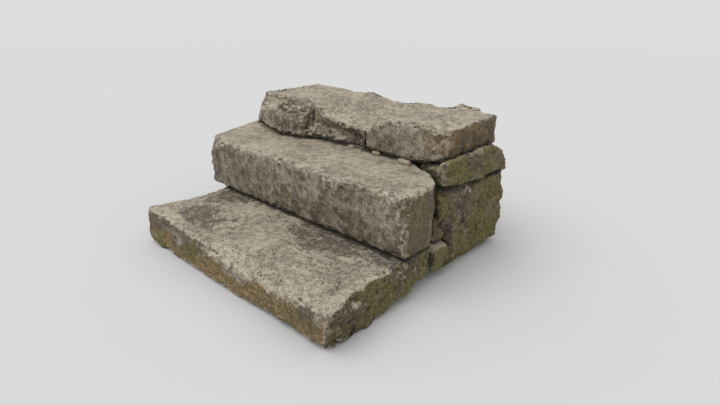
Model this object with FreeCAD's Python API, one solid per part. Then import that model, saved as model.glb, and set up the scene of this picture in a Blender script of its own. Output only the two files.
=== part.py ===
"""Stone mounting block of three steps, laid in courses of large weathered blocks.

Setting-out frame while the stones are made: X runs along the steps with 0 in the middle,
Y runs back from the face of the bottom step, Z is the height above the ground. At the end
everything is moved so that the origin is in the middle of the footprint. Millimetres.
"""
import FreeCAD, Part
import os

Vector = FreeCAD.Vector

# ---- driving dimensions -------------------------------------------------------------
BLOCK_WIDTH = 1300.0        # along the steps, between the nominal ends
SLAB_RISE = 178.0           # ground to the bottom tread
MIDDLE_RISE = 280.0         # bottom tread to the middle tread
TOP_RISE = 200.0            # middle tread to the top of the upper course
SLAB_TREAD = 430.0          # going of the bottom step
MIDDLE_TREAD = 345.0        # going of the middle step, to the face of the upper course
TOP_DEPTH = 460.0           # face of the upper course to the back of the block
LEDGE_HEIGHT = 70.0         # thin course between the base blocks and the upper course
BED = 8.0                   # lime bed between courses
JOINT = 9.0                 # upright joint between neighbours in a course
SLAB_TAIL = 205.0           # how far the bottom slab runs in under the middle block
MIDDLE_TAIL = 80.0          # how far the middle block runs in under the upper course
BED_SETBACK = 40.0          # lime stands back from the weathered faces
TOP_BED_SETBACK = 26.0      # the same under the upper course, where the bearing is narrow
RUBBLE_LAYERS = 2           # layers of packing stones under the middle block
RUBBLE_LENGTH = 160.0       # length of one packing stone
RUBBLE_GAP = 4.0            # open joint between packing stones
CUT_END = 1.0               # how far a stone's worn end stands into an upright joint

# ---- how far each stone runs past the nominal ends of the block ------------------------
SLAB_LEFT_OUT = 2.0
SLAB_RIGHT_OUT = 8.0
MIDDLE_LEFT_OUT = 61.0
MIDDLE_RIGHT_OUT = -28.0
TOP_LEFT_OUT = 18.0
TOP_RIGHT_OUT = -66.0
LEDGE_LEFT_OUT = 20.0
LEDGE_RIGHT_OUT = -13.0
BASE_LEFT_OUT = 10.0
BASE_RIGHT_OUT = -30.0
BASE_JOINT_X = 95.0         # upright joint between the two base blocks
LEDGE_JOINT_X = 290.0       # upright joint between the two ledge stones

# ---- the socket at the foot of the right end, and the stone that sits in it -----------
SOCKET_DEPTH = 45.0         # into the end of the base block
SOCKET_LENGTH = 100.0       # along the end, from the front corner
SOCKET_FLOOR = 44.0
SOCKET_HEIGHT = 222.0
FOOT_STONE_HEIGHT = 112.0
FOOT_STONE_GAP = 0.3
FOOT_STONE_END = 0.84       # how far its blunt ends are drawn in, as a share of its depth

# ---- datum planes that follow ---------------------------------------------------------
LEFT = -BLOCK_WIDTH / 2
RIGHT = BLOCK_WIDTH / 2
SLAB_TOP = SLAB_RISE
MIDDLE_BOTTOM = SLAB_TOP + BED
MIDDLE_TOP = SLAB_TOP + MIDDLE_RISE
TOP = MIDDLE_TOP + TOP_RISE
LEDGE_BOTTOM = MIDDLE_TOP - LEDGE_HEIGHT
BASE_TOP = LEDGE_BOTTOM - BED
MIDDLE_FACE = SLAB_TREAD
TOP_FACE = MIDDLE_FACE + MIDDLE_TREAD
SLAB_BACK = MIDDLE_FACE + SLAB_TAIL
MIDDLE_BACK = TOP_FACE + MIDDLE_TAIL
BACK = TOP_FACE + TOP_DEPTH


# ---- making a stone --------------------------------------------------------------------
def triangle(a, b, c):
    return Part.Face(Part.makePolygon([a, b, c, a]))


def middle_of(ring):
    total = Vector()
    for point in ring:
        total += point
    return total * (1.0 / len(ring))


def cap(ring):
    """Triangles that close a ring of points about its middle."""
    middle = middle_of(ring)
    return [triangle(middle, a, b) for a, b in zip(ring, ring[1:] + ring[:1])]


def stone_through(rings):
    """One closed stone through rings that all have the same number of points."""
    faces = cap(rings[0]) + cap(rings[-1])
    for near, far in zip(rings, rings[1:]):
        for i in range(len(near)):
            j = (i + 1) % len(near)
            faces.append(triangle(near[i], near[j], far[j]))
            faces.append(triangle(near[i], far[j], far[i]))
    shell = Part.Shell(faces)
    shell.sewShape()
    stone = Part.Solid(shell)
    if stone.Volume < 0:
        stone.reverse()
    return stone


def ring_at(x, outline):
    """Outline points (y, z) on an upright plane across the stone."""
    return [Vector(x, y, z) for y, z in outline]


def pulled_in(ring, inset, shift_x):
    """The same ring drawn in towards its middle and moved along X: a rounded end."""
    middle = middle_of(ring)
    drawn = []
    for point in ring:
        out = point - middle
        drawn.append(middle + out * (1 - inset / out.Length) + Vector(shift_x, 0, 0))
    return drawn


def with_round_ends(rings, left_inset, left_reach, right_inset, right_reach):
    first = pulled_in(rings[0], left_inset, -left_reach)
    last = pulled_in(rings[-1], right_inset, right_reach)
    return [first] + rings + [last]


def spread(low, high, share):
    return low + (high - low) * share


def profile(knots, x):
    """Height or depth at x, straight between knots (x, value) and level past the ends."""
    if x <= knots[0][0]:
        return knots[0][1]
    for (x0, v0), (x1, v1) in zip(knots, knots[1:]):
        if x <= x1:
            return spread(v0, v1, (x - x0) / (x1 - x0))
    return knots[-1][1]


def across(share):
    """X at a share of the width of the block."""
    return spread(LEFT, RIGHT, share)


def prism(points, z_low, z_high):
    """Upright block on a plan outline of (x, y) points."""
    corners = [Vector(x, y, z_low) for x, y in points]
    face = Part.Face(Part.makePolygon(corners + corners[:1]))
    return face.extrude(Vector(0, 0, z_high - z_low))


# ---- bottom step -----------------------------------------------------------------------
# share along the slab, set-back of the arris, set-back of the foot of the face, nosing
# drop, nosing width, height of the lower edge above the ground, underside at the tail
SLAB_STATIONS = [
    (0.000, 20, 4, 6, 14, 10, 0),
    (0.030, 20, 2, 6, 14, 6, 0),
    (0.160, 24, 6, 4, 12, 0, 0),
    (0.190, 4, 0, 8, 20, 0, 0),
    (0.340, 2, 0, 6, 22, 8, 0),
    (0.450, 0, 0, 26, 56, 3, 0),
    (0.560, 0, 0, 30, 60, 2, 0),
    (0.680, 0, 0, 34, 64, 7, 0),
    (0.780, 0, 0, 32, 60, 16, 0),
    (0.880, -2, 0, 16, 36, 20, 0),
    (0.955, -6, -2, 12, 30, 16, 16),
    (1.000, -4, 4, 16, 30, 12, 58),
]
# Plan of each end at the tread and at the ground: (distance back, how far it turns in)
SLAB_LEFT_END = [(30, 0), (150, 36), (284, 58), (436, 46), (640, 40)]
SLAB_LEFT_FOOT = [(0, 12), (284, 60), (640, 50)]
SLAB_RIGHT_END = [(0, 0), (28, 18), (90, 36), (200, 34), (270, 50), (436, 58), (640, 50)]
SLAB_RIGHT_FOOT = [(0, 36), (60, 28), (250, 22), (640, 24)]
SLAB_TREAD_POINTS = [0.30, 0.62]
SLAB_BACK_BULGE = 6.0


def slab_outline(set_back, foot, drop, nosing, gap, tail_gap):
    tread = [(SLAB_TREAD * share, SLAB_TOP) for share in SLAB_TREAD_POINTS]
    underside = [(SLAB_TREAD * share, 0) for share in SLAB_TREAD_POINTS[::-1]]
    return [
        (foot + 5, gap),
        (foot, gap + 22),
        (set_back - 2, SLAB_TOP - drop - 26),
        (set_back + nosing * 0.22, SLAB_TOP - drop),
        (set_back + nosing, SLAB_TOP - drop * 0.12),
    ] + tread + [
        (SLAB_BACK, SLAB_TOP),
        (SLAB_BACK + SLAB_BACK_BULGE, spread(tail_gap, SLAB_TOP, 0.55)),
        (SLAB_BACK - 8, tail_gap),
        (SLAB_TREAD, tail_gap * 0.6),
    ] + underside + [
        (foot + 50, 0),
    ]


def bottom_step_slab():
    left = LEFT - SLAB_LEFT_OUT
    right = RIGHT + SLAB_RIGHT_OUT
    rings = []
    for share, set_back, foot, drop, nosing, gap, tail_gap in SLAB_STATIONS:
        ring = []
        for y, z in slab_outline(set_back, foot, drop, nosing, gap, tail_gap):
            up = z / SLAB_TOP
            x_left = left + spread(profile(SLAB_LEFT_FOOT, y), profile(SLAB_LEFT_END, y), up)
            x_right = right - spread(profile(SLAB_RIGHT_FOOT, y), profile(SLAB_RIGHT_END, y), up)
            ring.append(Vector(spread(x_left, x_right, share), y, z))
        rings.append(ring)
    return stone_through(with_round_ends(rings, 8, 6, 10, 6))


# ---- middle step -----------------------------------------------------------------------
# share along the block, set-back of the arris, drop of the arris, height of the tread
# behind it, bulge of the face, how far the tail is cut short
MIDDLE_STATIONS = [
    (0.000, 4, 92, 30, 4, 60),
    (0.055, -4, 46, 38, 2, 20),
    (0.095, -6, 14, 32, 2, 0),
    (0.170, -14, 5, 0, 4, 0),
    (0.320, -20, 4, 0, 4, 0),
    (0.430, -8, 7, 0, 2, 0),
    (0.560, -22, 4, 0, 6, 0),
    (0.670, -24, 5, 0, 6, 0),
    (0.755, -36, 6, 0, 6, 0),
    (0.830, -16, 6, 0, 2, 50),
    (0.945, -16, 8, 0, 2, 140),
    (0.985, -6, 14, -2, 2, 195),
    (1.000, 20, 22, -6, 6, 245),
]
MIDDLE_BACK_BULGE = 4.0
MIDDLE_FOOT_SET_BACK = 18.0
MIDDLE_FOOT_ARRIS = 14.0    # the worn lower edge of the face


def middle_span(share):
    return spread(LEFT - MIDDLE_LEFT_OUT, RIGHT + MIDDLE_RIGHT_OUT, share)


def middle_outline(set_back, drop, rise, bulge, cut):
    face = MIDDLE_FACE + set_back
    foot = MIDDLE_FACE + MIDDLE_FOOT_SET_BACK
    back = MIDDLE_BACK - cut
    return [
        (foot, MIDDLE_BOTTOM),
        (foot - MIDDLE_FOOT_ARRIS, MIDDLE_BOTTOM + MIDDLE_FOOT_ARRIS),
        (spread(foot, face, 0.5) - bulge - 6, MIDDLE_BOTTOM + MIDDLE_RISE * 0.45),
        (face - 1, MIDDLE_TOP - drop - 24),
        (face + 5, MIDDLE_TOP - drop),
        (face + 34, MIDDLE_TOP - drop * 0.1),
        (back - 14, MIDDLE_TOP + rise),
        (back, MIDDLE_TOP + rise - 8),
        (back + MIDDLE_BACK_BULGE, MIDDLE_BOTTOM + MIDDLE_RISE * 0.5),
        (back - 6, MIDDLE_BOTTOM),
    ]


def middle_step_block():
    rings = []
    for share, set_back, drop, rise, bulge, cut in MIDDLE_STATIONS:
        x = middle_span(share)
        rings.append(ring_at(x, middle_outline(set_back, drop, rise, bulge, cut)))
    return stone_through(with_round_ends(rings, 16, 8, 16, 8))


def behind_middle(x):
    """Front line of the rear stones, one joint clear of the back of the middle block."""
    knots = [(middle_span(row[0]), row[5]) for row in MIDDLE_STATIONS]
    return MIDDLE_BACK + MIDDLE_BACK_BULGE - profile(knots, x) + JOINT


# ---- bearing level of the upper course ---------------------------------------------------
# It lies on the middle tread and lifts at both ends: (share of the width, lift).
BEARING_LIFT = [
    (-0.03, 34), (0.085, 34), (0.16, 0), (0.79, 0), (0.86, 10), (0.925, 31),
    (0.945, 47), (0.965, 62),
]


def bearing_lift(x):
    return profile([(across(share), lift) for share, lift in BEARING_LIFT], x)


def bearing_x_between(x_low, x_high):
    """The places between two X values where the bearing level changes slope."""
    return [across(s) for s, lift in BEARING_LIFT if x_low < across(s) < x_high]


# ---- joint between the two top stones -----------------------------------------------------
# Plan line of the upright joint: (share of the width, share of the top course's depth).
TOP_JOINT_LINE = [
    (0.58, 0.01), (0.59, 0.12), (0.63, 0.16), (0.65, 0.32), (0.69, 0.45),
    (0.75, 0.60), (0.78, 0.79), (0.87, 0.91),
]


def top_joint_line(side):
    """The joint line moved half a joint to the left stone (-1) or the right stone (+1)."""
    half = JOINT / 2 * side
    line = []
    for across_share, depth_share in TOP_JOINT_LINE:
        y = TOP_FACE + TOP_DEPTH * depth_share
        line.append((across(across_share) + half, y - half))
    return line


# ---- top left slab, with the ridge that runs on behind the right block -------------------
# X as a share of the way from the left end to the joint; foot, hollow and arris of the
# front face from the face line; drops of arris, scoop, crest and ridge below the top;
# setting-in of the back
TOP_LEFT_STATIONS = [
    (0.000, -45, -40, -30, 100, 95, 92, 100, 44),
    (0.055, -62, -50, -10, -3, -6, -6, -4, 22),
    (0.130, -78, -66, -14, -9, -8, -5, -4, 12),
    (0.185, -82, -72, -12, -8, -6, -3, -2, 10),
    (0.345, -66, -50, -8, -10, -6, -2, -1, 12),
    (0.475, -48, -34, -2, -2, 0, -2, 6, 14),
    (0.560, -16, 14, 0, 12, 8, 2, 0, 16),
    (0.598, 2, 34, 0, 21, 10, 5, -9, 18),
    (0.650, 6, 40, -2, 58, 26, 10, -8, 20),
    (0.785, 10, 34, 0, 74, 40, 16, 19, 16),
    (0.912, 32, 40, 2, 90, 50, 22, 22, 14),
    (0.978, 34, 36, 3, 104, 58, 26, 12, 12),
]
# On the joint line: drops of the joint edge, scoop, crest and ridge; setting-in of the back
TOP_LEFT_JOINT_DROPS = [
    (104, 58, 26, 10, 12),
    (96, 56, 26, 6, 12),
    (66, 46, 22, 6, 12),
    (38, 30, 16, 6, 12),
    (22, 18, 14, 18, 10),
    (16, 14, 10, 14, 8),
    (34, 14, -4, -6, 6),
    (10, 6, 0, 2, 18),
]


def top_left_outline(x, front, drops, rear_in):
    foot, hollow, arris = front
    arris_drop, scoop_drop, crest_drop, ridge_drop = drops
    bottom = MIDDLE_TOP + BED + bearing_lift(x)
    back = BACK - rear_in
    edge = TOP - arris_drop
    return [
        (foot, bottom),
        (hollow, spread(bottom, edge, 0.5)),
        (arris + (foot - arris) * 0.1, edge - 20),
        (arris, edge),
        (spread(arris, back, 0.40), TOP - scoop_drop),
        (spread(arris, back, 0.74), TOP - crest_drop),
        (spread(arris, back, 0.90), TOP - ridge_drop),
        (back, TOP - ridge_drop - 26),
        (back + 2, spread(bottom, TOP, 0.5)),
        (back - 10, bottom),
    ]


def top_left_slab():
    line = top_joint_line(-1)
    left = LEFT - TOP_LEFT_OUT
    free = {}
    for share, foot, hollow, arris, *rest in TOP_LEFT_STATIONS:
        x = spread(left, line[0][0], share)
        front = (TOP_FACE + foot, TOP_FACE + hollow, TOP_FACE + arris)
        free[x] = (front, tuple(rest[:4]), rest[4])
    for (x, y), (edge, scoop, crest, ridge, rear_in) in zip(line, TOP_LEFT_JOINT_DROPS):
        free[x] = ((y, y, y), (edge, scoop, crest, ridge), rear_in)
    rings = []
    for x in sorted(free):
        rings.append(ring_at(x, top_left_outline(x, *free[x])))
    return stone_through(with_round_ends(rings, 14, 8, 4, 5))


# ---- top right block ----------------------------------------------------------------------
# On the joint line: setting-in of the front face, drop of the top
TOP_RIGHT_JOINT_ROWS = [
    (6, 78), (3, 46), (2, 40), (-3, 14), (-5, 8), (-5, 5), (-8, 8),
]
# Past the joint line: share of the way on to the right end, front, drop, back from BACK
TOP_RIGHT_STATIONS = [
    (0.330, -12, 15, 42),
    (0.700, -12, 14, 42),
    (1.000, -6, 9, 66),
]


def top_right_outline(x, front_in, drop, back):
    front = TOP_FACE + front_in
    bottom = MIDDLE_TOP + BED + bearing_lift(x)
    top = TOP - drop
    return [
        (front + 12, bottom),
        (front + 1, bottom + 20),
        (front - 2, spread(bottom, top, 0.5)),
        (front, top - 22),
        (front + 7, top - 6),
        (front + 20, top),
        (back - 12, top + 2),
        (back, top - 8),
        (back, spread(bottom, top, 0.5)),
        (back, bottom),
    ]


def top_right_block():
    line = top_joint_line(1)[1:]
    right = RIGHT + TOP_RIGHT_OUT
    stations = {}
    for (x, y), (front_in, drop) in zip(line, TOP_RIGHT_JOINT_ROWS):
        stations[x] = (front_in, drop, y)
    last_x = line[-1][0]
    for share, front_in, drop, back_in in TOP_RIGHT_STATIONS:
        stations[spread(last_x, right, share)] = (front_in, drop, BACK - back_in)
    knots = sorted(stations)
    for x in bearing_x_between(knots[0], knots[-1]):
        low = max(k for k in knots if k < x)
        high = min(k for k in knots if k > x)
        share = (x - low) / (high - low)
        both = zip(stations[low], stations[high])
        stations[x] = tuple(spread(a, b, share) for a, b in both)
    rings = [ring_at(x, top_right_outline(x, *stations[x])) for x in sorted(stations)]
    return stone_through(with_round_ends(rings, 6, 4, 16, 10))


# ---- thin course behind the middle block ------------------------------------------------
def ledge_outline(x, front, lift, front_lift, crown):
    bottom = LEDGE_BOTTOM
    top = MIDDLE_TOP + lift
    back = BACK - crown * 0.2
    return [
        (front + 8, bottom + front_lift),
        (front, spread(bottom + front_lift, top, 0.5)),
        (front + 6, top - 10),
        (front + 22, top),
        (BACK - crown, top),
        (BACK - crown * 0.42, spread(bottom, top, 0.62)),
        (BACK - crown * 0.17, spread(bottom, top, 0.30)),
        (back, bottom + 6),
        (back - 8, bottom),
        (spread(front, back, 0.5), bottom + front_lift * 0.12),
    ]


# Along the width of the block: how much of the back is worn round, and how far the
# underside lifts at the front.
LEDGE_CROWN = [(0.45, 30.0), (0.88, 80.0), (0.98, 149.0)]
LEDGE_FRONT_LIFT = [(0.86, 0.0), (0.965, 34.0), (1.0, 46.0)]
LEDGE_END_LIFT = 72.0       # how high the outer end stands above the middle tread
LEDGE_END_LENGTH = 26.0     # how much of the outer end stands that high
LEDGE_CORNER = 88.0         # how far its front corner comes out past the upper face


def share_profile(knots, x):
    return profile([(across(share), value) for share, value in knots], x)


def ledge_stone_right():
    left = LEDGE_JOINT_X + JOINT / 2
    right = RIGHT + LEDGE_RIGHT_OUT
    xs = [left, right, right - LEDGE_END_LENGTH]
    xs += [middle_span(row[0]) for row in MIDDLE_STATIONS if middle_span(row[0]) > left]
    xs += bearing_x_between(left, right)
    rings = []
    for x in sorted(xs):
        front = max(behind_middle(x), TOP_FACE - LEDGE_CORNER)
        lift = LEDGE_END_LIFT if x >= right - LEDGE_END_LENGTH else bearing_lift(x)
        crown = share_profile(LEDGE_CROWN, x)
        front_lift = share_profile(LEDGE_FRONT_LIFT, x)
        rings.append(ring_at(x, ledge_outline(x, front, lift, front_lift, crown)))
    return stone_through(with_round_ends(rings, 4, CUT_END, 18, 8))


def ledge_stone_left():
    left = LEFT - LEDGE_LEFT_OUT
    right = LEDGE_JOINT_X - JOINT / 2
    xs = [left, left + 60, right] + bearing_x_between(left + 60, right)
    rings = []
    for x in sorted(xs):
        outline = ledge_outline(x, behind_middle(LEFT * 0.5), bearing_lift(x), 0, 26)
        rings.append(ring_at(x, outline))
    return stone_through(with_round_ends(rings, 14, 8, 4, CUT_END))


# ---- base blocks ---------------------------------------------------------------------------
def base_outline(front, gap, rear_in):
    back = BACK - rear_in
    return [
        (front + 16 + gap, gap),
        (front + 4, gap + 30),
        (front, BASE_TOP - 14),
        (front + 12, BASE_TOP),
        (back - 24, BASE_TOP),
        (back, BASE_TOP - 46),
        (back + 6, BASE_TOP * 0.55),
        (back - 14, gap * 0.45),
    ]


# share along the right block, height of its lower edge, setting-in of the back
BASE_RIGHT_STATIONS = [
    (0.000, 0, 12), (0.250, 0, 20), (0.520, 0, 6), (0.800, 0, 10), (0.930, 8, 6),
    (1.000, 46, 7),
]
BASE_CORNER = 92.0          # how far its front corner comes out past the upper face


def base_block_right():
    left = BASE_JOINT_X + JOINT / 2
    right = RIGHT + BASE_RIGHT_OUT
    stations = [(spread(left, right, s), gap, rear_in) for s, gap, rear_in in BASE_RIGHT_STATIONS]
    gaps = [(x, gap) for x, gap, rear_in in stations]
    rears = [(x, rear_in) for x, gap, rear_in in stations]
    xs = [x for x, gap, rear_in in stations]
    xs += [middle_span(r[0]) for r in MIDDLE_STATIONS if left < middle_span(r[0]) < right]
    rings = []
    for x in sorted(xs):
        front = max(behind_middle(x), TOP_FACE - BASE_CORNER)
        rings.append(ring_at(x, base_outline(front, profile(gaps, x), profile(rears, x))))
    stone = stone_through(with_round_ends(rings, 4, CUT_END, 18, 8))
    socket = Part.makeBox(
        SOCKET_DEPTH + 40, SOCKET_LENGTH + 60, SOCKET_HEIGHT,
        Vector(right - SOCKET_DEPTH, TOP_FACE - BASE_CORNER - 60, SOCKET_FLOOR))
    return stone.cut(socket)


def base_block_left():
    left = LEFT - BASE_LEFT_OUT
    right = BASE_JOINT_X - JOINT / 2
    front = behind_middle(LEFT * 0.5)
    rings = []
    for share, gap, rear_in in [(0, 20, 24), (0.12, 0, 8), (0.5, 0, 16), (0.8, 0, 6), (1, 0, 12)]:
        x = spread(left, right, share)
        rings.append(ring_at(x, base_outline(front, gap, rear_in)))
    return stone_through(with_round_ends(rings, 18, 8, 4, CUT_END))


# ---- small stones ---------------------------------------------------------------------------
def cobble(x, y, z, length, depth, height, end=0.58):
    """A small worn stone: flat under, wider at mid height, drawn in at the top and ends."""
    rings = []
    for share, size in [(0.0, end + 0.08), (0.22, 1.0), (0.78, 0.94), (1.0, end)]:
        across_stone = x - length / 2 + length * share
        half = depth / 2 * size
        rise = height * (0.72 + 0.28 * size)
        rings.append([
            Vector(across_stone, y - half * 0.8, z),
            Vector(across_stone, y - half, z + rise * 0.45),
            Vector(across_stone, y - half * 0.6, z + rise),
            Vector(across_stone, y + half * 0.6, z + rise * 0.94),
            Vector(across_stone, y + half, z + rise * 0.5),
            Vector(across_stone, y + half * 0.8, z),
        ])
    return stone_through(rings)


# Stones pinned into the open joint at the back of the middle tread: share of the width,
# distance in front of the face line, length, depth, height
PINNINGS = [
    (0.79, -14, 64, 30, 22),
    (0.65, 4, 44, 24, 18),
    (0.52, 14, 34, 22, 14),
]


def pinning_stones():
    stones = []
    for share, out, length, depth, height in PINNINGS:
        y = TOP_FACE + out - depth / 2
        stones.append(cobble(across(share), y, MIDDLE_TOP, length, depth, height))
    return Part.makeCompound(stones)


def foot_stone():
    """A cobble wedged in the socket, between the base block and the tail of the slab."""
    right = RIGHT + BASE_RIGHT_OUT
    front = SLAB_BACK + SLAB_BACK_BULGE + FOOT_STONE_GAP
    back = TOP_FACE - BASE_CORNER + SOCKET_LENGTH - FOOT_STONE_GAP
    x = right - SOCKET_DEPTH / 2 + 6
    return cobble(x, (front + back) / 2, SOCKET_FLOOR, SOCKET_DEPTH + 8, back - front,
                  FOOT_STONE_HEIGHT, FOOT_STONE_END)


def core_rubble():
    """Two layers of packing stones that carry the middle block behind the bottom slab."""
    x_low = LEFT - MIDDLE_LEFT_OUT + 60
    x_high = across(0.82)
    y_low = SLAB_BACK + SLAB_BACK_BULGE + RUBBLE_GAP
    y_high = MIDDLE_BACK - 60
    layer = SLAB_TOP / RUBBLE_LAYERS
    count = int((x_high - x_low) / RUBBLE_LENGTH)
    pitch = (x_high - x_low) / count
    stones = []
    for row in range(RUBBLE_LAYERS):
        for i in range(count):
            x = x_low + pitch * i
            rings = []
            for share, size in [(0.0, 9), (0.12, 0), (0.88, 2), (1.0, 11)]:
                x_ring = x + (pitch - RUBBLE_GAP) * share
                low = y_low + size
                high = y_high - size - 7 * ((i + row) % 3)
                outline = [(low + 8, row * layer), (low, (row + 0.5) * layer),
                           (low + 8, (row + 1) * layer), (high - 8, (row + 1) * layer),
                           (high, (row + 0.5) * layer), (high - 8, row * layer)]
                rings.append(ring_at(x_ring, outline))
            stones.append(stone_through(rings))
    return Part.makeCompound(stones)


# ---- lime beds and joints ---------------------------------------------------------------------
def middle_bed_mortar():
    front = MIDDLE_FACE + MIDDLE_FOOT_SET_BACK + BED_SETBACK
    x_low = LEFT + BED_SETBACK
    x_high = middle_span(0.945)
    xs = [x_low] + [x for x in map(middle_span, [0.755, 0.83]) if x < x_high] + [x_high]
    back = [(x, behind_middle(x) - JOINT - 22) for x in xs]
    return prism([(x_low, front), (x_high, front)] + back[::-1], SLAB_TOP, MIDDLE_BOTTOM)


def ledge_bed_mortar():
    front = behind_middle(LEFT * 0.5) + BED_SETBACK
    back = BACK - BED_SETBACK - 30
    x_low = LEFT + BED_SETBACK
    x_high = across(0.86)
    corners = [(x_low, front), (x_high, front), (x_high, back), (x_low, back)]
    return prism(corners, BASE_TOP, LEDGE_BOTTOM)


def top_bed_mortar():
    front = TOP_FACE + TOP_BED_SETBACK
    back = BACK - BED_SETBACK - 60
    x_low = across(BEARING_LIFT[2][0])
    x_high = across(BEARING_LIFT[5][0])
    rings = []
    for x in [x_low] + bearing_x_between(x_low, x_high) + [x_high]:
        low = MIDDLE_TOP + bearing_lift(x)
        outline = [(front, low), (front, low + BED), (back, low + BED), (back, low)]
        rings.append(ring_at(x, outline))
    return stone_through(rings)


def top_joint_mortar():
    left_side = top_joint_line(-1)[1:-1]
    right_side = top_joint_line(1)[1:-1]
    low = MIDDLE_TOP + BED
    return prism(left_side + right_side[::-1], low, spread(low, TOP, 0.35))


def base_joint_mortar():
    front = behind_middle(LEFT * 0.5) + BED_SETBACK
    back = BACK - BED_SETBACK - 40
    low = BASE_JOINT_X - JOINT / 2 + CUT_END
    high = BASE_JOINT_X + JOINT / 2 - CUT_END
    corners = [(low, front), (high, front), (high, back), (low, back)]
    return prism(corners, 0, BASE_TOP - BED)


# ---- the block -----------------------------------------------------------------------------------
NODES = [
    bottom_step_slab, middle_step_block, top_left_slab, top_right_block,
    ledge_stone_right, ledge_stone_left, base_block_right, base_block_left,
    core_rubble, foot_stone, pinning_stones, middle_bed_mortar, ledge_bed_mortar,
    top_bed_mortar, top_joint_mortar, base_joint_mortar,
]


def mounting_block():
    shapes = {node.__name__: node() for node in NODES}
    whole = Part.makeCompound(list(shapes.values())).BoundBox
    centre = Vector(-(whole.XMin + whole.XMax) / 2, -(whole.YMin + whole.YMax) / 2, -whole.ZMin)
    for shape in shapes.values():
        shape.translate(centre)
    print("origin moved by", centre, "size", whole.XLength, whole.YLength, whole.ZLength)
    return shapes


os.makedirs("parts", exist_ok=True)
for name, shape in mounting_block().items():
    solids = len(shape.Solids)
    print(f"{name}: {solids} solid(s), valid {shape.isValid()}, {shape.Volume / 1e6:.2f} litres")
    shape.exportStep("parts/" + name + ".step")
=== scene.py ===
"""A weathered sandstone mounting block: three steps of old stones, moss and packing."""
import math

import bmesh
import bpy
import numpy as np
from mathutils import Matrix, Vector
from mathutils.bvhtree import BVHTree


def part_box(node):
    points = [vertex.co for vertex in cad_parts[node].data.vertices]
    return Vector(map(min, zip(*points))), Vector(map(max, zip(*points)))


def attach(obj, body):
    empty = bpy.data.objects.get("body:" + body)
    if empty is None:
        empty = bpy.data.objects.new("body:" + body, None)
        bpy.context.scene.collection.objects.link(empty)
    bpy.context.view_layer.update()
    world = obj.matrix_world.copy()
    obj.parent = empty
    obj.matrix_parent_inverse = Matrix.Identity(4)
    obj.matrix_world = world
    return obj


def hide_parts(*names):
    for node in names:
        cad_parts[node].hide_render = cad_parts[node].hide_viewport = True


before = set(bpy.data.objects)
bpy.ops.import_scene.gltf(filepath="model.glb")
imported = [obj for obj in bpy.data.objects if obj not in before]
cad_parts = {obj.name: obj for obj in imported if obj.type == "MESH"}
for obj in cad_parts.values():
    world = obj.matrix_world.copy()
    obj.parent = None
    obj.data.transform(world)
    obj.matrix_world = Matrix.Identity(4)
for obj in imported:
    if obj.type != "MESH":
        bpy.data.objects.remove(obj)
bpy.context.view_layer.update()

LARGE_STONES = ["bottom_step_slab", "middle_step_block", "top_left_slab", "top_right_block",
                "ledge_stone_right", "ledge_stone_left", "base_block_right", "base_block_left"]
SLAB_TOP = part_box("bottom_step_slab")[1].z
BED_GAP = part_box("middle_step_block")[0].z - SLAB_TOP
BITTEN_FOOT = 0.06                  # height above the ground that frost and wet have bitten
SOILED_FOOT = 0.022                 # height of the dark line of soil at the ground
CREVICE_REACH = 0.034               # how far out of a joint its dirt and painted shade spread
JOINT_REACH = 0.024                 # how far from its neighbour a face swells to meet it
SHELTER_REACH = 0.15                # how far a neighbour keeps the sun off
UP = (0, 0, 1)
WET_WAY = (1, 0, 0)                 # the end that never dries

FLOOR_TONE = 0.70
FLOOR_RADIUS = 14
SKY_LIGHT = 0.72
KEY_LIGHT = 1.05
KEY_SOFTNESS = 50                   # degrees across
KEY_TILT = (24, -16)                # degrees from straight down
STANDPOINT = (1.66, -1.54, 1.125)   # of the eye, in front of the right end
EYE_TURN = 42.2
EYE_DIP = 22.3
EYE_TILT = 0.4
LENS = 24.45


# ---------------------------------------------------------------- measuring a stone


def read(piece, name):
    values = np.empty(len(piece.data.vertices) * 3)
    piece.data.vertices.foreach_get(name, values)
    return values.reshape(-1, 3)


class Skin:
    """Where each point of a stone lies and which way it faces."""

    def __init__(self, stone):
        self.co, self.no = read(stone, "co"), read(stone, "normal")
        self.height = self.co[:, 2]

    def facing(self, direction, low=0.3, high=0.7):
        return ease(self.no @ np.array(direction, float), low, high)

    def grain(self, size, seed, octaves=3):
        return grain(self.co, size, seed, octaves)


def ease(values, low, high):
    """0 at low, 1 at high, and a soft change between; low may be the larger."""
    t = np.clip((values - low) / (high - low), 0.0, 1.0)
    return t * t * (3 - 2 * t)


def hashed(cells, seed):
    """A repeatable value from -1 to 1 for each whole cell."""
    h = cells[:, 0] * 73856093 ^ cells[:, 1] * 19349663 ^ cells[:, 2] * 83492791
    h = (h + seed * 2654435761) & 0xFFFFFFFF
    h = ((h ^ (h >> 15)) * 2246822519) & 0xFFFFFFFF
    h = ((h ^ (h >> 13)) * 3266489917) & 0xFFFFFFFF
    return ((h ^ (h >> 16)) & 0xFFFF) / 32767.5 - 1.0


def grain(co, size, seed, octaves=3):
    """Smooth unevenness from -1 to 1; size is one length, or three for a drawn-out grain."""
    total, weight = np.zeros(len(co)), 1.0
    at = co / np.array(size, float)
    for octave in range(octaves):
        low = np.floor(at).astype(np.int64)
        t = at - low
        t = t * t * (3 - 2 * t)
        layer = np.zeros(len(co))
        for corner in range(8):
            step = np.array([corner & 1, corner >> 1 & 1, corner >> 2])
            share = np.prod(np.where(step, t, 1 - t), axis=1)
            layer += share * hashed(low + step, seed + octave * 31)
        total += layer * weight
        weight *= 0.5
        at = at * 2.03 + 17.3
    return total / (2 - weight * 2)


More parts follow.
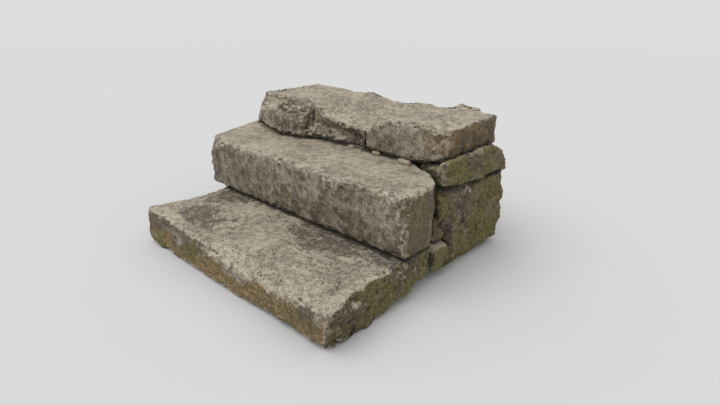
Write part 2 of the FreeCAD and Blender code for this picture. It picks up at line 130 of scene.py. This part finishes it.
def arris(stone, spread=3):
    """How sharply the skin turns, in 1/m: above 0 on an arris, below 0 in a hollow."""
    mesh = stone.data
    co, no = read(stone, "co"), read(stone, "normal")
    edges = np.empty(len(mesh.edges) * 2, dtype=np.int64)
    mesh.edges.foreach_get("vertices", edges)
    a, b = edges.reshape(-1, 2).T
    count = np.maximum(np.bincount(a, minlength=len(co)) + np.bincount(b, minlength=len(co)), 1)
    gap = co[a] - co[b]
    bend = np.einsum("ij,ij->i", no[a] - no[b], gap) / np.maximum((gap ** 2).sum(1), 1e-12)
    turn = (np.bincount(a, bend, len(co)) + np.bincount(b, bend, len(co))) / count
    for _ in range(spread):
        near = (np.bincount(a, turn[b], len(co)) + np.bincount(b, turn[a], len(co))) / count
        turn = 0.4 * turn + 0.6 * near
    return turn


def clearance(skin, nodes, reach=SHELTER_REACH):
    """How far each point is from the nearest of the other stones, up to the reach."""
    nearest = np.full(len(skin.co), reach)
    for node in nodes:
        low, high = (np.array(corner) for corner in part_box(node))
        close = np.all((skin.co > low - reach) & (skin.co < high + reach), axis=1)
        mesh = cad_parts[node].data
        tree = BVHTree.FromPolygons([v.co for v in mesh.vertices],
                                    [list(p.vertices) for p in mesh.polygons])
        for i in np.flatnonzero(close):
            found = tree.find_nearest(skin.co[i], reach)
            if found[0] is not None:
                nearest[i] = min(nearest[i], found[3])
    return nearest


# ---------------------------------------------------------------- working a stone


def only(piece):
    bpy.ops.object.select_all(action="DESELECT")
    piece.select_set(True)
    bpy.context.view_layer.objects.active = piece


def finish_modifier(kind, **settings):
    """Adds a modifier to the active piece, sets it and applies it."""
    bpy.ops.object.modifier_add(type=kind)
    modifier = bpy.context.active_object.modifiers[-1]
    for name, value in settings.items():
        setattr(modifier, name, value)
    bpy.ops.object.modifier_apply(modifier=modifier.name)


def drop_crumbs(stone, smallest=400):
    """Deletes the tiny loose shells that remeshing leaves beside a thin edge."""
    body = bmesh.new()
    body.from_mesh(stone.data)
    left = set(body.verts)
    while left:
        shell, rim = set(), {left.pop()}
        while rim:
            shell |= rim
            rim = {e.other_vert(v) for v in rim for e in v.link_edges} - shell
        left -= shell
        if len(shell) < smallest:
            bmesh.ops.delete(body, geom=list(shell), context="VERTS")
    body.to_mesh(stone.data)
    body.free()


def rough_stone(node, name, spacing, rounding):
    """A merged copy of a stone with an even skin of small faces and softened arrises."""
    stone = bpy.data.objects.new(name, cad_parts[node].data.copy())
    bpy.context.scene.collection.objects.link(stone)
    only(stone)
    bpy.ops.object.mode_set(mode="EDIT")
    bpy.ops.mesh.select_all(action="SELECT")
    bpy.ops.mesh.remove_doubles(threshold=0.0001)
    bpy.ops.object.mode_set(mode="OBJECT")
    finish_modifier("REMESH", mode="VOXEL", voxel_size=spacing, use_smooth_shade=True)
    drop_crumbs(stone)
    finish_modifier("SMOOTH", factor=0.5, iterations=rounding)
    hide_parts(node)
    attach(stone, "root")
    return stone


def weigh(stone, shares):
    """Stores a share from 0 to 1 for each point, for the next working of the skin."""
    group = stone.vertex_groups.new(name="worked")
    steps = np.round(np.clip(shares, 0, 1) * 100).astype(int)
    for step in np.unique(steps[steps > 0]):
        group.add(np.flatnonzero(steps == step).tolist(), step / 100, "REPLACE")


def roughen(stone, size, depth, where):
    """Raises and sinks the skin by cloudy unevenness, by the shares given."""
    texture = bpy.data.textures.new("unevenness", "CLOUDS")
    texture.noise_scale = size
    weigh(stone, where)
    only(stone)
    finish_modifier("DISPLACE", texture=texture, texture_coords="LOCAL", strength=depth,
                    mid_level=0.5, vertex_group="worked")
    stone.vertex_groups.clear()


def sink(stone, depth, where, direction="NORMAL"):
    """Presses the skin in by the depth, by the shares given."""
    weigh(stone, where)
    only(stone)
    finish_modifier("DISPLACE", strength=-depth, mid_level=0.0, direction=direction,
                    vertex_group="worked")
    stone.vertex_groups.clear()


def stand_flat(stone):
    """Nothing reaches below the ground."""
    co = read(stone, "co")
    co[:, 2] = np.maximum(co[:, 2], 0.0)
    stone.data.vertices.foreach_set("co", co.ravel())
    stone.data.update()


def stain(stone, **coats):
    """Stores how much of each stain, growth and painted shade lies at each point, for the finishes."""
    for name, amount in coats.items():
        layer = stone.data.attributes.new(name, "FLOAT", "POINT")
        layer.data.foreach_set("value", np.clip(amount, 0, 1).astype(np.float32))


# ---------------------------------------------------------------- finishes


def fill(tree, node, values):
    """Sets or links the inputs of a node."""
    for name, value in values.items():
        if isinstance(value, bpy.types.NodeSocket):
            tree.links.new(value, node.inputs[name])
        else:
            node.inputs[name].default_value = value
    return node


def put(tree, kind, values=None, **settings):
    node = tree.nodes.new("ShaderNode" + kind)
    for name, value in settings.items():
        setattr(node, name, value)
    return fill(tree, node, values or {})


def use(tree, group, **values):
    node = tree.nodes.new("ShaderNodeGroup")
    node.node_tree = group
    return fill(tree, node, values).outputs


def sums(tree, operation, a, b=0.0, clamp=False):
    return put(tree, "Math", {0: a, 1: b}, operation=operation, use_clamp=clamp).outputs[0]


def times(tree, a, b):
    return sums(tree, "MULTIPLY", a, b)


def plus(tree, a, b):
    return sums(tree, "ADD", a, b)


def rise(tree, value, low, high):
    values = {"Value": value, "From Min": low, "From Max": high}
    return put(tree, "MapRange", values, interpolation_type="SMOOTHSTEP").outputs[0]


def mixed(tree, share, a, b):
    return put(tree, "Mix", {0: share, 6: a, 7: b}, data_type="RGBA").outputs[2]


def noise(tree, place, scale, detail=4.0, roughness=0.55, distortion=0.0):
    values = {"Vector": place, "Scale": scale, "Detail": detail,
              "Roughness": roughness, "Distortion": distortion}
    return put(tree, "TexNoise", values).outputs[0]


def drawn_out(tree, place, scale, turn=(0, 0, 0)):
    return put(tree, "Mapping", {"Vector": place, "Scale": scale, "Rotation": turn}).outputs[0]


def coat(tree, name):
    """The amount of a stain stored on the stone."""
    return put(tree, "Attribute", attribute_name=name, attribute_type="GEOMETRY").outputs["Fac"]


def new_group(name, inputs, outputs):
    """A node group with named inputs and outputs, to be filled and then used by the finishes."""
    group = bpy.data.node_groups.new(name, "ShaderNodeTree")
    group.interface.new_socket("Place", in_out="INPUT", socket_type="NodeSocketVector")
    for label, value in inputs.items():
        socket = group.interface.new_socket(label, in_out="INPUT", socket_type="NodeSocketFloat")
        socket.default_value = value
    for label in outputs:
        group.interface.new_socket(label, in_out="OUTPUT", socket_type="NodeSocketFloat")
    return group, group.nodes.new("NodeGroupInput").outputs, group.nodes.new("NodeGroupOutput")


def stone_grain_group():
    """Mottling, sand grain, dark pores and small pits of worn sandstone."""
    group, given, made = new_group("Sandstone grain", {"Size": 1.0, "Pitting": 0.5, "Grit": 0.5},
                                   ["Tone", "Pits", "Pores", "Height"])
    place = put(group, "VectorMath", {0: given["Place"], "Scale": given["Size"]}, operation="SCALE")
    place = place.outputs[0]
    broad = noise(group, place, 6.0, 5.0, 0.6)
    fine = noise(group, place, 34.0, 6.0, 0.72)
    sand = noise(group, place, 120.0, 4.0, 0.75)
    tone = times(group, rise(group, broad, 0.3, 0.7), 0.30)
    tone = plus(group, tone, times(group, rise(group, fine, 0.36, 0.64), 0.36))
    tone = plus(group, tone, times(group, rise(group, sand, 0.34, 0.66), 0.34))
    tone = rise(group, tone, 0.12, 0.88)
    pores = times(group, rise(group, sand, 0.45, 0.36), rise(group, fine, 0.62, 0.40))
    pores = times(group, pores, given["Grit"])
    cells = put(group, "TexVoronoi", {"Vector": place, "Scale": 70.0})
    holes = rise(group, cells.outputs["Distance"], 0.40, 0.14)
    limit = sums(group, "SUBTRACT", 0.80, times(group, given["Pitting"], 0.45))
    fields = sums(group, "SUBTRACT", noise(group, place, 15.0, 4.0, 0.65), limit)
    pits = times(group, holes, sums(group, "MULTIPLY", fields, 9.0, clamp=True))
    height = plus(group, times(group, fine, 0.7), times(group, sand, 0.45))
    height = sums(group, "SUBTRACT", height, plus(group, times(group, pits, 0.8), times(group, pores, 0.5)))
    fill(group, made, {"Tone": tone, "Pits": pits, "Pores": pores, "Height": height})
    return group


def damp_film_group():
    """Dark swirling film on a tread that holds water, with dry pale islands in it."""
    group, given, made = new_group("Damp film", {"Amount": 0.0}, ["Mask"])
    place = drawn_out(group, given["Place"], (1.0, 1.7, 1.0), (0, 0, 0.25))
    swirls = times(group, noise(group, place, 26.0, 7.0, 0.74, 1.1), 1.9)
    flecks = times(group, noise(group, place, 85.0, 3.0, 0.7, 0.5), 0.9)
    islands = times(group, noise(group, given["Place"], 12.0, 3.0, 0.5, 0.6), 0.7)
    value = plus(group, plus(group, swirls, islands), flecks)
    value = plus(group, value, times(group, given["Amount"], 0.80))
    mask = times(group, rise(group, value, 2.18, 2.52), rise(group, given["Amount"], 0.0, 0.25))
    fill(group, made, {"Mask": mask})
    return group


def growth_group():
    """Moss or a stain that creeps in from where its amount is stored, in ragged tufts."""
    group, given, made = new_group("Creeping growth", {"Amount": 0.0, "Scale": 30.0},
                                   ["Mask", "Shade", "Height"])
    ragged = noise(group, given["Place"], given["Scale"], 6.0, 0.7, 0.4)
    tufts = noise(group, given["Place"], times(group, given["Scale"], 5.0), 3.0, 0.6)
    value = plus(group, given["Amount"], times(group, ragged, 1.3))
    mask = times(group, rise(group, value, 0.92, 1.22), rise(group, given["Amount"], 0.0, 0.15))
    fill(group, made, {"Mask": mask, "Shade": rise(group, tufts, 0.3, 0.7),
                       "Height": times(group, mask, tufts)})
    return group


def streaks_group():
    """Faint upright runs left by rain on a riser."""
    group, given, made = new_group("Rain streaks", {}, ["Mask"])
    place = drawn_out(group, given["Place"], (38.0, 38.0, 4.5))
    fill(group, made, {"Mask": rise(group, noise(group, place, 1.0, 4.0, 0.6), 0.35, 0.68)})
    return group


def bedding_group():
    """The thin beds of the stone, seen on a cut or broken end."""
    group, given, made = new_group("Bedding lines", {}, ["Mask", "Height"])
    place = drawn_out(group, given["Place"], (7.0, 7.0, 60.0), (0.06, 0.04, 0))
    value = noise(group, place, 1.0, 5.0, 0.65)
    fill(group, made, {"Mask": rise(group, value, 0.35, 0.65), "Height": value})
    return group


def lichen_group():
    """Pale round lichen spots, in drifts."""
    group, given, made = new_group("Lichen spots", {"Amount": 0.0}, ["Mask"])
    cells = put(group, "TexVoronoi", {"Vector": given["Place"], "Scale": 75.0})
    spots = rise(group, cells.outputs["Distance"], 0.42, 0.2)
    drift = plus(group, noise(group, given["Place"], 22.0, 4.0, 0.65), times(group, given["Amount"], 0.55))
    fill(group, made, {"Mask": times(group, spots, rise(group, drift, 0.62, 0.9))})
    return group


GRAIN = stone_grain_group()
FILM = damp_film_group()
GROWTH = growth_group()
STREAKS = streaks_group()
BEDDING = bedding_group()
LICHEN = lichen_group()

PALE_BEIGE = (0.560, 0.490, 0.372, 1)
GREY_BEIGE = (0.228, 0.195, 0.142, 1)
WORN_CREAM = (0.580, 0.525, 0.415, 1)
RISER_GREY = (0.450, 0.385, 0.300, 1)
RISER_DARK = (0.115, 0.094, 0.066, 1)
FILM_DARK = (0.085, 0.074, 0.056, 1)
OCHRE = (0.420, 0.292, 0.132, 1)
OCHRE_DARK = (0.110, 0.074, 0.032, 1)
UMBER = (0.160, 0.114, 0.066, 1)
# dark soil colour, also used as painted shade in hollows, beside joints and in pits
DARK_SOIL_AND_SHADE = (0.035, 0.029, 0.020, 1)
MOSS_LIGHT = (0.255, 0.224, 0.066, 1)
MOSS_DARK = (0.052, 0.047, 0.015, 1)
ALGAE_LIGHT = (0.300, 0.262, 0.130, 1)
ALGAE_DARK = (0.105, 0.088, 0.042, 1)
LICHEN_PALE = (0.520, 0.510, 0.380, 1)


def new_finish(name):
    finish = bpy.data.materials.new(name)
    finish.use_nodes = True
    tree = finish.node_tree
    return finish, tree, tree.nodes["Principled BSDF"], put(tree, "TexCoord").outputs["Object"]


def sandstone(name, size=1.0, pitting=0.4, bump=0.008, moss_scale=30.0, grit=0.55):
    """Worn sandstone with every stain and growth that this block carries, and painted shade in its hollows,
    beside its joints and in its pits.
    """
    finish, tree, shader, place = new_finish(name)
    body = use(tree, GRAIN, Place=place, Size=size, Pitting=pitting, Grit=grit)
    film = use(tree, FILM, Place=place, Amount=coat(tree, "film"))["Mask"]
    moss = use(tree, GROWTH, Place=place, Amount=coat(tree, "moss"), Scale=moss_scale)
    algae = use(tree, GROWTH, Place=place, Amount=coat(tree, "algae"), Scale=moss_scale * 0.6)
    rust = use(tree, GROWTH, Place=place, Amount=coat(tree, "ochre"), Scale=16.0)
    brown = use(tree, GROWTH, Place=place, Amount=coat(tree, "umber"), Scale=20.0)
    rain = use(tree, STREAKS, Place=place)["Mask"]
    beds = use(tree, BEDDING, Place=place)
    lichen = use(tree, LICHEN, Place=place, Amount=coat(tree, "lichen"))["Mask"]
    broken = coat(tree, "broken")

    side = mixed(tree, body["Tone"], RISER_DARK, RISER_GREY)
    side = mixed(tree, times(tree, rain, 0.45), side, RISER_GREY)
    colour = mixed(tree, body["Tone"], GREY_BEIGE, PALE_BEIGE)
    colour = mixed(tree, coat(tree, "riser"), colour, side)
    colour = mixed(tree, times(tree, times(tree, broken, beds["Mask"]), 0.55), colour, RISER_DARK)
    ochre = mixed(tree, rust["Shade"], OCHRE_DARK, OCHRE)
    ochre = mixed(tree, times(tree, beds["Mask"], 0.5), ochre, OCHRE_DARK)
    colour = mixed(tree, rust["Mask"], colour, ochre)
    earthy = mixed(tree, brown["Shade"], DARK_SOIL_AND_SHADE, UMBER)
    colour = mixed(tree, times(tree, brown["Mask"], 0.85), colour, earthy)
    worn = times(tree, coat(tree, "worn"), rise(tree, body["Tone"], 0.25, 0.6))
    colour = mixed(tree, worn, colour, WORN_CREAM)
    colour = mixed(tree, times(tree, film, 0.86), colour, FILM_DARK)
    slime = mixed(tree, algae["Shade"], ALGAE_DARK, ALGAE_LIGHT)
    colour = mixed(tree, times(tree, algae["Mask"], 0.62), colour, slime)
    green = mixed(tree, moss["Shade"], MOSS_DARK, MOSS_LIGHT)
    colour = mixed(tree, times(tree, moss["Mask"], 0.9), colour, green)
    colour = mixed(tree, times(tree, lichen, 0.7), colour, LICHEN_PALE)
    colour = mixed(tree, times(tree, body["Pores"], 0.75), colour, FILM_DARK)
    # painted shade, with some dirt, darkens the small pits
    colour = mixed(tree, times(tree, body["Pits"], 0.8), colour, DARK_SOIL_AND_SHADE)
    # dirt at the joints and the foot, with painted shade in hollows and beside joints, darkens the colour
    ragged = plus(tree, coat(tree, "soil"), times(tree, plus(tree, body["Tone"], -0.5), -0.5))
    soil = times(tree, rise(tree, ragged, 0.15, 0.85), 0.95)
    colour = mixed(tree, soil, colour, DARK_SOIL_AND_SHADE)

    dull = plus(tree, 0.80, times(tree, body["Tone"], 0.15))
    dull = sums(tree, "SUBTRACT", dull, times(tree, film, 0.12))
    height = plus(tree, body["Height"], times(tree, moss["Height"], 0.9))
    height = plus(tree, height, times(tree, times(tree, beds["Height"], broken), 0.8))
    bumped = put(tree, "Bump", {"Height": height, "Strength": 1.0, "Distance": bump})
    fill(tree, shader, {"Base Color": colour, "Roughness": dull, "Normal": bumped.outputs[0]})
    return finish


def crumbled(name, light, dark, growth=0.0, size=1.6):
    """Packing stone and lime: one coarse grain with a little growth."""
    finish, tree, shader, place = new_finish(name)
    body = use(tree, GRAIN, Place=place, Size=size, Pitting=0.8)
    moss = use(tree, GROWTH, Place=place, Amount=growth, Scale=40.0)
    colour = mixed(tree, body["Tone"], dark, light)
    colour = mixed(tree, moss["Mask"], colour, mixed(tree, moss["Shade"], MOSS_DARK, MOSS_LIGHT))
    # painted shade, with some dirt, darkens the small pits
    colour = mixed(tree, times(tree, body["Pits"], 0.6), colour, DARK_SOIL_AND_SHADE)
    dull = plus(tree, 0.82, times(tree, body["Tone"], 0.12))
    bumped = put(tree, "Bump", {"Height": body["Height"], "Strength": 1.0, "Distance": 0.004})
    fill(tree, shader, {"Base Color": colour, "Roughness": dull, "Normal": bumped.outputs[0]})
    return finish


def dress(piece, finish):
    piece.data.materials.clear()
    piece.data.materials.append(finish)


# ---------------------------------------------------------------- the stones


def weathered_stone(node, name, spacing, rounding, relief, seed, chips, rotten=0.006):
    """A stone whose skin is worked by rule: swells, lumps, chipped arrises and a bitten foot.

    relief holds (size, depth, share of it on upward faces), from broad to fine. rotten is
    how deep the wet end has crumbled besides.
    """
    stone = rough_stone(node, name, spacing, rounding)
    gap = clearance(Skin(stone), [other for other in LARGE_STONES if other != node])
    for size, depth, on_top in relief:
        roughen(stone, size, depth, 1 - (1 - on_top) * Skin(stone).facing(UP))
    wet = Skin(stone).facing(WET_WAY)
    roughen(stone, 0.090, 1.3 * rotten, wet)
    roughen(stone, 0.035, 0.35 * rotten, wet)
    skin = Skin(stone)
    sink(stone, chips, ease(arris(stone), 6, 20) * ease(skin.grain(0.030, seed, 2), -0.05, 0.5))
    skin = Skin(stone)
    bites = ease(skin.grain(0.05, seed + 1), -0.05, 0.5) * ease(skin.height, BITTEN_FOOT, 0.0)
    sink(stone, 0.014, bites)
    sink(stone, -0.45 * BED_GAP, ease(gap, JOINT_REACH, BED_GAP))
    return stone, gap


def laminate(stone, seed, sheet):
    """Wears an upward face back sheet by sheet, which leaves low ragged steps."""
    skin = Skin(stone)
    level = 3.2 * skin.grain((0.34, 0.20, 0.5), seed, 4)
    whole = np.floor(level)
    stepped = whole + ease(level - whole, 0.42, 0.58)
    stepped -= stepped.min()
    sink(stone, sheet * stepped.max(), skin.facing(UP) * stepped / stepped.max())


def weather(stone, gap, seed, film=0.0, worn=0.6, ochre=0.4, umber=0.3, algae=0.3, moss=0.2,
            lichen=0.2, broken=0.3, green_top=0.15):
    """Lays each stain, and the painted shade in hollows and beside joints, by the lie of the stone and by
    chance: none has a place of its own.
    """
    skin, turn = Skin(stone), arris(stone)
    top, wet = skin.facing(UP), skin.facing(WET_WAY)
    side = 1 - skin.facing(UP, 0.3, 0.65)
    edge, hollow = ease(turn, 6, 22), ease(turn, -4, -20)
    open_tread = top * ease(arris(stone, 60), 2.5, 0.3)
    low, foot = ease(skin.height, SLAB_TOP, 0.0), ease(skin.height, SOILED_FOOT, 0.0)
    crevice, shelter = ease(gap, CREVICE_REACH, BED_GAP), ease(gap, SHELTER_REACH, 0.02)
    browned = side * (1 - 0.75 * low * (1 - wet))
    broad, middling = skin.grain(0.24, seed), skin.grain(0.10, seed + 1)
    small = skin.grain(0.035, seed + 2)
    growing = 0.26 + 0.42 * wet + 0.18 * low + 0.35 * crevice + 0.80 * middling + 0.65 * broad
    stain(stone, riser=side, broken=broken * side * (0.6 + 0.4 * wet),
          film=film * open_tread * ease(broad + 0.45 * shelter + 0.4 * small, -0.45, 0.30),
          worn=worn * (edge * (0.75 + 0.5 * small) + 0.2 * top * ease(middling, 0.1, 0.5)),
          ochre=ochre * side * (0.08 + 0.72 * low + 0.38 * wet + 0.40 * middling),
          umber=umber * browned * (0.65 + 0.30 * wet + 0.45 * broad + 0.35 * small),
          algae=algae * (side + green_top * top) * growing,
          moss=moss * (side + green_top * top) * growing,
          lichen=lichen * (top + wet) * ease(middling, 0.1, 0.5),
          # soil at the joints and the foot, with painted shade in the concave hollows and beside the joints
          soil=np.minimum(0.9 * crevice + (0.40 + 0.15 * wet) * hollow + 0.8 * side * foot, 0.92))
    tufts = ease(moss * side * growing + 0.35 * small, 0.22, 0.55)
    roughen(stone, 0.012, 0.007, tufts)
    stand_flat(stone)


def bottom_step():
    relief = [(0.16, 0.010, 0.25), (0.045, 0.011, 0.12), (0.018, 0.004, 0.4)]
    stone, gap = weathered_stone("bottom_step_slab", "weathered_bottom_step", 0.0055, 3, relief, 5,
                                 chips=0.008, rotten=0.020)
    weather(stone, gap, 3, film=0.88, worn=0.7, ochre=1.5, umber=0.85, algae=0.62, moss=0.54)
    dress(stone, sandstone("bottom_step_sandstone", pitting=0.42, moss_scale=20.0))


def middle_step():
    relief = [(0.17, 0.010, 0.2), (0.05, 0.007, 0.15), (0.018, 0.0035, 0.3)]
    stone, gap = weathered_stone("middle_step_block", "weathered_middle_step", 0.0055, 4, relief, 41,
                                 chips=0.009)
    weather(stone, gap, 53, film=0.35, worn=0.75, ochre=1.05, umber=0.60, algae=0.48, moss=0.24)
    dress(stone, sandstone("middle_step_sandstone", pitting=0.50))


def top_left():
    relief = [(0.13, 0.012, 0.3), (0.05, 0.016, 0.05), (0.020, 0.007, 0.15)]
    stone, gap = weathered_stone("top_left_slab", "weathered_top_left", 0.005, 2, relief, 9,
                                 chips=0.010)
    laminate(stone, 71, sheet=0.004)
    weather(stone, gap, 66, film=0.30, worn=0.85, ochre=0.25, umber=0.58, algae=0.30, moss=0.10)
    dress(stone, sandstone("top_left_sandstone", pitting=0.35))


def top_right():
    relief = [(0.14, 0.008, 0.2), (0.03, 0.006, 0.1), (0.016, 0.003, 0.3)]
    stone, gap = weathered_stone("top_right_block", "weathered_top_right", 0.0042, 3, relief, 80,
                                 chips=0.007, rotten=0.010)
    laminate(stone, 84, sheet=0.002)
    weather(stone, gap, 83, film=0.55, worn=0.5, ochre=1.7, umber=0.50, algae=0.40, moss=0.14)
    dress(stone, sandstone("top_right_sandstone", pitting=0.35))


def mossy_stone(node, name, spacing, seed, finish, lumps):
    """A stone of the rough courses behind the middle step."""
    relief = [(0.13, 0.016, 1.0), (0.05, lumps, 0.8), (0.018, 0.006, 1.0)]
    stone, gap = weathered_stone(node, name, spacing, 3, relief, seed, chips=0.010, rotten=lumps)
    weather(stone, gap, seed + 4, worn=0.35, ochre=0.45, umber=0.85, algae=0.95, moss=0.62,
            broken=0.8, green_top=1.3)
    dress(stone, finish)


def small_stones():
    """The mossy foot stone and the pale pinning stones in the joint."""
    relief = [(0.04, 0.008, 1.0), (0.012, 0.003, 1.0)]
    foot, gap = weathered_stone("foot_stone", "mossy_foot_stone", 0.0028, 2, relief, 141,
                                chips=0.003)
    weather(foot, gap, 143, worn=0.3, umber=0.3, algae=1.0, moss=0.75)
    dress(foot, sandstone("foot_stone_sandstone", 1.3, 0.5, 0.004, 40))
    pins = rough_stone("pinning_stones", "pale_pinning_stones", 0.0018, 2)
    roughen(pins, 0.012, 0.003, np.ones(len(pins.data.vertices)))
    dress(pins, crumbled("pinning_stone", (0.50, 0.43, 0.34, 1), (0.25, 0.20, 0.15, 1)))


def hidden_beds():
    """The packing and the lime keep their own shapes and get their finishes."""
    packing = crumbled("broken_packing_stone", (0.30, 0.25, 0.18, 1), (0.12, 0.10, 0.07, 1), 0.25)
    lime = crumbled("crumbly_lime", (0.36, 0.33, 0.26, 1), (0.17, 0.15, 0.11, 1), 0.1, 2.0)
    for node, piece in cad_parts.items():
        if node == "core_rubble" or node.endswith("mortar"):
            piece.data.materials.clear()
            piece.data.materials.append(packing if node == "core_rubble" else lime)


# ---------------------------------------------------------------- the studio


def studio():
    bpy.ops.object.select_all(action="DESELECT")
    bpy.ops.mesh.primitive_circle_add(vertices=64, radius=FLOOR_RADIUS, fill_type="NGON")
    floor = bpy.context.active_object
    floor.name = "studio_floor"
    finish, tree, shader, _ = new_finish("pale_studio_floor")
    fill(tree, shader, {"Base Color": (FLOOR_TONE, FLOOR_TONE, FLOOR_TONE, 1),
                        "Roughness": 1.0, "Specular IOR Level": 0.0})
    floor.data.materials.append(finish)
    world = bpy.data.worlds.new("studio_light")
    bpy.context.scene.world = world
    world.use_nodes = True
    fill(world.node_tree, world.node_tree.nodes["Background"],
         {"Color": (1, 1, 1, 1), "Strength": SKY_LIGHT})
    key = bpy.data.objects.new("soft_key", bpy.data.lights.new("soft_key", "SUN"))
    key.data.energy = KEY_LIGHT
    key.data.angle = math.radians(KEY_SOFTNESS)
    key.rotation_euler = (math.radians(KEY_TILT[0]), math.radians(KEY_TILT[1]), 0)
    bpy.context.scene.collection.objects.link(key)


def camera():
    eye = bpy.data.objects.new("eye", bpy.data.cameras.new("eye"))
    bpy.context.scene.collection.objects.link(eye)
    eye.data.sensor_width = 36
    eye.data.lens = LENS
    turn = Matrix.Rotation(math.radians(EYE_TURN), 4, "Z")
    turn = turn @ Matrix.Rotation(math.radians(90 - EYE_DIP), 4, "X")
    turn = turn @ Matrix.Rotation(math.radians(EYE_TILT), 4, "Z")
    eye.matrix_world = Matrix.Translation(STANDPOINT) @ turn
    bpy.context.scene.camera = eye


bpy.context.scene.view_settings.view_transform = "Standard"
bottom_step()
middle_step()
top_left()
top_right()
ROUGH_SANDSTONE = sandstone("rough_sandstone", 1.0, 0.50, 0.007, 17)
mossy_stone("ledge_stone_right", "mossy_ledge_right", 0.004, 93, ROUGH_SANDSTONE, 0.016)
mossy_stone("ledge_stone_left", "mossy_ledge_left", 0.0055, 103, ROUGH_SANDSTONE, 0.016)
mossy_stone("base_block_right", "mossy_base_right", 0.005, 121, ROUGH_SANDSTONE, 0.026)
mossy_stone("base_block_left", "mossy_base_left", 0.006, 131, ROUGH_SANDSTONE, 0.026)
small_stones()
hidden_beds()
studio()
camera()

bpy.context.view_layer.update()
